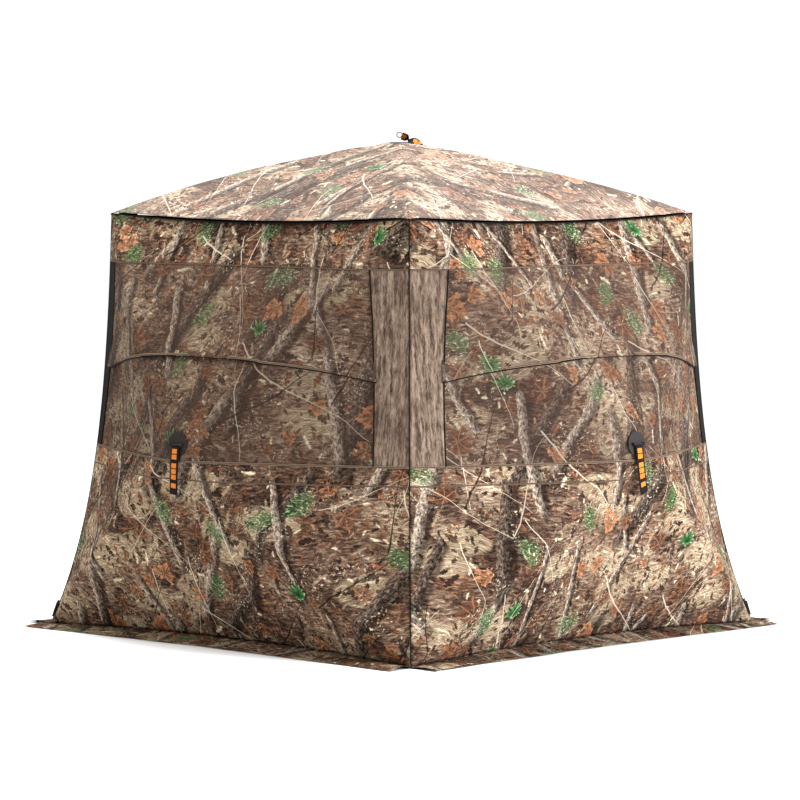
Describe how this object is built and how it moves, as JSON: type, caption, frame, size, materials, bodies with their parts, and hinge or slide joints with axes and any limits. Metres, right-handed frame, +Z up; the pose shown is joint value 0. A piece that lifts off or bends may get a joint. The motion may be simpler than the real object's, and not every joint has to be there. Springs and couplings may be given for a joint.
{
  "type": "pop up ground blind",
  "caption": "Square pop up ground blind: camouflage cloth shell held out by a pole hub in each wall and the roof, with window bands, pull straps and a ground skirt.",
  "frame": {"origin": "on the ground at the middle of the floor", "axes": "+Z up through the roof hub; walls face -Y (front), +X (right), +Y (back), -X (left)"},
  "size_m": [2.641, 2.641, 2.0831],
  "materials": {
    "shell_cloth": "matte",
    "window_cloth": "matte",
    "lining_cloth": "matte",
    "strap_web": "matte",
    "hub_plastic": "satin",
    "pole_fibreglass": "satin",
    "pin_steel": "satin",
    "ring_steel": "polished",
    "eyelet_metal": "satin",
    "zip_tape": "matte",
    "zip_metal": "satin"
  },
  "bodies": {
    "root": {"wall_cloth_front": "shell_cloth", "window_flap_front": "window_cloth", "window_screen_front": "window_cloth", "wall_cloth_right": "shell_cloth", "window_flap_right": "window_cloth", "window_screen_right": "window_cloth", "wall_cloth_back": "shell_cloth", "window_flap_back": "window_cloth", "window_screen_back": "window_cloth", "wall_cloth_left": "shell_cloth", "window_flap_left": "window_cloth", "window_screen_left": "window_cloth", "roof_cloth": "shell_cloth", "ground_skirt": "shell_cloth", "corner_pockets": "lining_cloth", "stake_eyelets": "eyelet_metal", "door_zip_tape": "zip_tape"},
    "hub_front": {"hub_core_front": "hub_plastic", "hub_pins_front": "pin_steel", "hub_cap_front": "hub_plastic"},
    "pole_front_upper_left": {"pole_front_upper_left": "pole_fibreglass"},
    "pole_front_lower_left": {"pole_front_lower_left": "pole_fibreglass"},
    "pole_front_upper_right": {"pole_front_upper_right": "pole_fibreglass"},
    "pole_front_lower_right": {"pole_front_lower_right": "pole_fibreglass"},
    "pull_strap_front": {"pull_strap_front": "strap_web"},
    "hub_right": {"hub_core_right": "hub_plastic", "hub_pins_right": "pin_steel", "hub_cap_right": "hub_plastic"},
    "pole_right_upper_left": {"pole_right_upper_left": "pole_fibreglass"},
    "pole_right_lower_left": {"pole_right_lower_left": "pole_fibreglass"},
    "pole_right_upper_right": {"pole_right_upper_right": "pole_fibreglass"},
    "pole_right_lower_right": {"pole_right_lower_right": "pole_fibreglass"},
    "pull_strap_right": {"pull_strap_right": "strap_web"},
    "hub_back": {"hub_core_back": "hub_plastic", "hub_pins_back": "pin_steel", "hub_cap_back": "hub_plastic"},
    "pole_back_upper_left": {"pole_back_upper_left": "pole_fibreglass"},
    "pole_back_lower_left": {"pole_back_lower_left": "pole_fibreglass"},
    "pole_back_upper_right": {"pole_back_upper_right": "pole_fibreglass"},
    "pole_back_lower_right": {"pole_back_lower_right": "pole_fibreglass"},
    "pull_strap_back": {"pull_strap_back": "strap_web"},
    "hub_left": {"hub_core_left": "hub_plastic", "hub_pins_left": "pin_steel", "hub_cap_left": "hub_plastic"},
    "pole_left_upper_left": {"pole_left_upper_left": "pole_fibreglass"},
    "pole_left_lower_left": {"pole_left_lower_left": "pole_fibreglass"},
    "pole_left_upper_right": {"pole_left_upper_right": "pole_fibreglass"},
    "pole_left_lower_right": {"pole_left_lower_right": "pole_fibreglass"},
    "pull_strap_left": {"pull_strap_left": "strap_web"},
    "hub_roof": {"hub_core_roof": "hub_plastic", "hub_pins_roof": "pin_steel", "hub_cap_roof": "hub_plastic"},
    "pole_roof_front_left": {"pole_roof_front_left": "pole_fibreglass"},
    "pole_roof_front_right": {"pole_roof_front_right": "pole_fibreglass"},
    "pole_roof_back_left": {"pole_roof_back_left": "pole_fibreglass"},
    "pole_roof_back_right": {"pole_roof_back_right": "pole_fibreglass"},
    "pull_strap_roof": {"pull_strap_roof": "strap_web", "roof_pull_ring": "ring_steel"},
    "zip_slider": {"door_zip_slider": "zip_metal"}
  },
  "joints": [
    {"name": "hub_front_push", "type": "slide", "parent": "root", "child": "hub_front", "axis": [0, 0.9942, -0.108], "range_m": [0, 0.6304], "deforming": ["wall_cloth_front", "window_flap_front", "window_screen_front"]},
    {"name": "pole_front_upper_left_pin", "type": "hinge", "parent": "hub_front", "child": "pole_front_upper_left", "pos_m": [-0.02222, -1.27945, 0.85264], "axis": [0.7395, 0.0727, 0.6693], "range_deg": [-1, 31.1]},
    {"name": "pole_front_lower_left_pin", "type": "hinge", "parent": "hub_front", "child": "pole_front_lower_left", "pos_m": [-0.02631, -1.28424, 0.80857], "axis": [-0.6037, 0.0861, 0.7925], "range_deg": [-1, 30.22]},
    {"name": "pole_front_upper_right_pin", "type": "hinge", "parent": "hub_front", "child": "pole_front_upper_right", "pos_m": [0.02222, -1.27945, 0.85264], "axis": [0.7395, -0.0727, -0.6693], "range_deg": [-1, 31.1]},
    {"name": "pole_front_lower_right_pin", "type": "hinge", "parent": "hub_front", "child": "pole_front_lower_right", "pos_m": [0.02631, -1.28424, 0.80857], "axis": [-0.6037, -0.0861, -0.7925], "range_deg": [-1, 30.22]},
    {"name": "pull_strap_front_swing", "type": "hinge", "parent": "hub_front", "child": "pull_strap_front", "pos_m": [0, -1.31489, 0.83194], "axis": [-1, 0, 0], "range_deg": [0, 150]},
    {"name": "hub_right_push", "type": "slide", "parent": "root", "child": "hub_right", "axis": [-0.9942, 0, -0.108], "range_m": [0, 0.6304], "deforming": ["wall_cloth_right", "window_flap_right", "window_screen_right"]},
    {"name": "pole_right_upper_left_pin", "type": "hinge", "parent": "hub_right", "child": "pole_right_upper_left", "pos_m": [1.27945, -0.02222, 0.85264], "axis": [-0.0727, 0.7395, 0.6693], "range_deg": [-1, 31.1]},
    {"name": "pole_right_lower_left_pin", "type": "hinge", "parent": "hub_right", "child": "pole_right_lower_left", "pos_m": [1.28424, -0.02631, 0.80857], "axis": [-0.0861, -0.6037, 0.7925], "range_deg": [-1, 30.22]},
    {"name": "pole_right_upper_right_pin", "type": "hinge", "parent": "hub_right", "child": "pole_right_upper_right", "pos_m": [1.27945, 0.02222, 0.85264], "axis": [0.0727, 0.7395, -0.6693], "range_deg": [-1, 31.1]},
    {"name": "pole_right_lower_right_pin", "type": "hinge", "parent": "hub_right", "child": "pole_right_lower_right", "pos_m": [1.28424, 0.02631, 0.80857], "axis": [0.0861, -0.6037, -0.7925], "range_deg": [-1, 30.22]},
    {"name": "pull_strap_right_swing", "type": "hinge", "parent": "hub_right", "child": "pull_strap_right", "pos_m": [1.31489, 0, 0.83194], "axis": [0, -1, 0], "range_deg": [0, 150]},
    {"name": "hub_back_push", "type": "slide", "parent": "root", "child": "hub_back", "axis": [0, -0.9942, -0.108], "range_m": [0, 0.6304], "deforming": ["wall_cloth_back", "window_flap_back", "window_screen_back"]},
    {"name": "pole_back_upper_left_pin", "type": "hinge", "parent": "hub_back", "child": "pole_back_upper_left", "pos_m": [0.02222, 1.27945, 0.85264], "axis": [-0.7395, -0.0727, 0.6693], "range_deg": [-1, 31.1]},
    {"name": "pole_back_lower_left_pin", "type": "hinge", "parent": "hub_back", "child": "pole_back_lower_left", "pos_m": [0.02631, 1.28424, 0.80857], "axis": [0.6037, -0.0861, 0.7925], "range_deg": [-1, 30.22]},
    {"name": "pole_back_upper_right_pin", "type": "hinge", "parent": "hub_back", "child": "pole_back_upper_right", "pos_m": [-0.02222, 1.27945, 0.85264], "axis": [-0.7395, 0.0727, -0.6693], "range_deg": [-1, 31.1]},
    {"name": "pole_back_lower_right_pin", "type": "hinge", "parent": "hub_back", "child": "pole_back_lower_right", "pos_m": [-0.02631, 1.28424, 0.80857], "axis": [0.6037, 0.0861, -0.7925], "range_deg": [-1, 30.22]},
    {"name": "pull_strap_back_swing", "type": "hinge", "parent": "hub_back", "child": "pull_strap_back", "pos_m": [0, 1.31489, 0.83194], "axis": [1, 0, 0], "range_deg": [0, 150]},
    {"name": "hub_left_push", "type": "slide", "parent": "root", "child": "hub_left", "axis": [0.9942, 0, -0.108], "range_m": [0, 0.6304], "deforming": ["wall_cloth_left", "window_flap_left", "window_screen_left"]},
    {"name": "pole_left_upper_left_pin", "type": "hinge", "parent": "hub_left", "child": "pole_left_upper_left", "pos_m": [-1.27945, 0.02222, 0.85264], "axis": [0.0727, -0.7395, 0.6693], "range_deg": [-1, 31.1]},
    {"name": "pole_left_lower_left_pin", "type": "hinge", "parent": "hub_left", "child": "pole_left_lower_left", "pos_m": [-1.28424, 0.02631, 0.80857], "axis": [0.0861, 0.6037, 0.7925], "range_deg": [-1, 30.22]},
    {"name": "pole_left_upper_right_pin", "type": "hinge", "parent": "hub_left", "child": "pole_left_upper_right", "pos_m": [-1.27945, -0.02222, 0.85264], "axis": [-0.0727, -0.7395, -0.6693], "range_deg": [-1, 31.1]},
    {"name": "pole_left_lower_right_pin", "type": "hinge", "parent": "hub_left", "child": "pole_left_lower_right", "pos_m": [-1.28424, -0.02631, 0.80857], "axis": [-0.0861, 0.6037, -0.7925], "range_deg": [-1, 30.22]},
    {"name": "pull_strap_left_swing", "type": "hinge", "parent": "hub_left", "child": "pull_strap_left", "pos_m": [-1.31489, 0, 0.83194], "axis": [0, 1, 0], "range_deg": [0, 150]},
    {"name": "hub_roof_push", "type": "slide", "parent": "root", "child": "hub_roof", "axis": [0, 0, -1], "range_m": [0, 0.55], "deforming": ["roof_cloth"]},
    {"name": "pole_roof_front_left_pin", "type": "hinge", "parent": "hub_roof", "child": "pole_roof_front_left", "pos_m": [-0.02333, -0.02333, 2.015], "axis": [-0.7071, 0.7071, 0], "range_deg": [-1, 28.81]},
    {"name": "pole_roof_front_right_pin", "type": "hinge", "parent": "hub_roof", "child": "pole_roof_front_right", "pos_m": [0.02333, -0.02333, 2.015], "axis": [-0.7071, -0.7071, 0], "range_deg": [-1, 28.81]},
    {"name": "pole_roof_back_left_pin", "type": "hinge", "parent": "hub_roof", "child": "pole_roof_back_left", "pos_m": [-0.02333, 0.02333, 2.015], "axis": [0.7071, 0.7071, 0], "range_deg": [-1, 28.81]},
    {"name": "pole_roof_back_right_pin", "type": "hinge", "parent": "hub_roof", "child": "pole_roof_back_right", "pos_m": [0.02333, 0.02333, 2.015], "axis": [0.7071, -0.7071, 0], "range_deg": [-1, 28.81]},
    {"name": "pull_strap_roof_swing", "type": "hinge", "parent": "hub_roof", "child": "pull_strap_roof", "pos_m": [0.02121, 0.02121, 2.048], "axis": [0.7071, -0.7071, 0], "range_deg": [-120, 16]},
    {"name": "door_zip_run", "type": "slide", "parent": "root", "child": "zip_slider", "axis": [0.1806, -0.1806, 0.9668], "range_m": [0, 0.7]}
  ],
  "couplings": [
    {"joint": "pole_front_upper_left_pin", "follows": "hub_front_push", "rad_per_m": 0.83326},
    {"joint": "pole_front_lower_left_pin", "follows": "hub_front_push", "rad_per_m": 0.80885},
    {"joint": "pole_front_upper_right_pin", "follows": "hub_front_push", "rad_per_m": 0.83326},
    {"joint": "pole_front_lower_right_pin", "follows": "hub_front_push", "rad_per_m": 0.80885},
    {"joint": "pole_right_upper_left_pin", "follows": "hub_right_push", "rad_per_m": 0.83326},
    {"joint": "pole_right_lower_left_pin", "follows": "hub_right_push", "rad_per_m": 0.80885},
    {"joint": "pole_right_upper_right_pin", "follows": "hub_right_push", "rad_per_m": 0.83326},
    {"joint": "pole_right_lower_right_pin", "follows": "hub_right_push", "rad_per_m": 0.80885},
    {"joint": "pole_back_upper_left_pin", "follows": "hub_back_push", "rad_per_m": 0.83326},
    {"joint": "pole_back_lower_left_pin", "follows": "hub_back_push", "rad_per_m": 0.80885},
    {"joint": "pole_back_upper_right_pin", "follows": "hub_back_push", "rad_per_m": 0.83326},
    {"joint": "pole_back_lower_right_pin", "follows": "hub_back_push", "rad_per_m": 0.80885},
    {"joint": "pole_left_upper_left_pin", "follows": "hub_left_push", "rad_per_m": 0.83326},
    {"joint": "pole_left_lower_left_pin", "follows": "hub_left_push", "rad_per_m": 0.80885},
    {"joint": "pole_left_upper_right_pin", "follows": "hub_left_push", "rad_per_m": 0.83326},
    {"joint": "pole_left_lower_right_pin", "follows": "hub_left_push", "rad_per_m": 0.80885},
    {"joint": "pole_roof_front_left_pin", "follows": "hub_roof_push", "rad_per_m": 0.88258},
    {"joint": "pole_roof_front_right_pin", "follows": "hub_roof_push", "rad_per_m": 0.88258},
    {"joint": "pole_roof_back_left_pin", "follows": "hub_roof_push", "rad_per_m": 0.88258},
    {"joint": "pole_roof_back_right_pin", "follows": "hub_roof_push", "rad_per_m": 0.88258}
  ]
}
